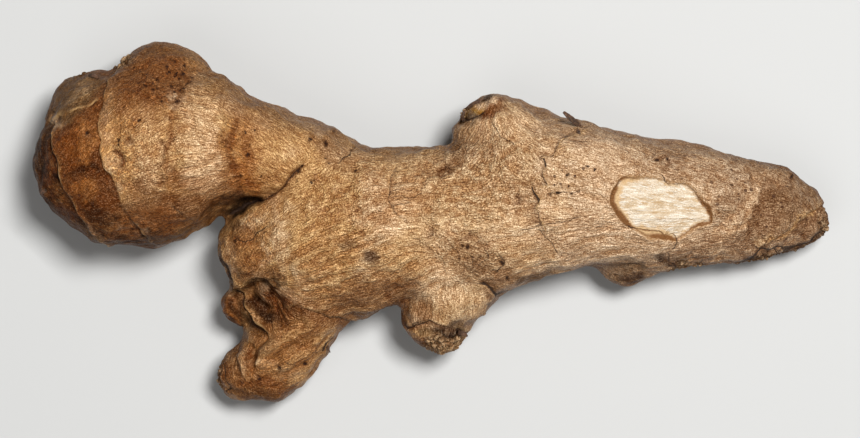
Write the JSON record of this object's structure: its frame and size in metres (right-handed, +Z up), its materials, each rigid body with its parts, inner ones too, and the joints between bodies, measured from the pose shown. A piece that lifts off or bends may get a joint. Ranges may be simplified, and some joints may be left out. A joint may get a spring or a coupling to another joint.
{
  "type": "ginger root",
  "caption": "Fresh ginger rhizome lying on its side: rounded knob, short neck, long tapering body, and stubs of side fingers and buds.",
  "frame": {"origin": "on the surface that the root lies on, below the middle of its footprint", "axes": "+X along the root, from the rounded knob to the body's tapering tip; +Z up from the surface that it lies on"},
  "size_m": [0.14, 0.0636, 0.0277],
  "materials": {
    "ginger_skin": "thin papery tan skin with fine lengthwise wrinkles and a slight waxy shine, brown at the ring scars and bud tips"
  },
  "bodies": {
    "root": {"ginger_root": "ginger_skin"}
  },
  "joints": []
}
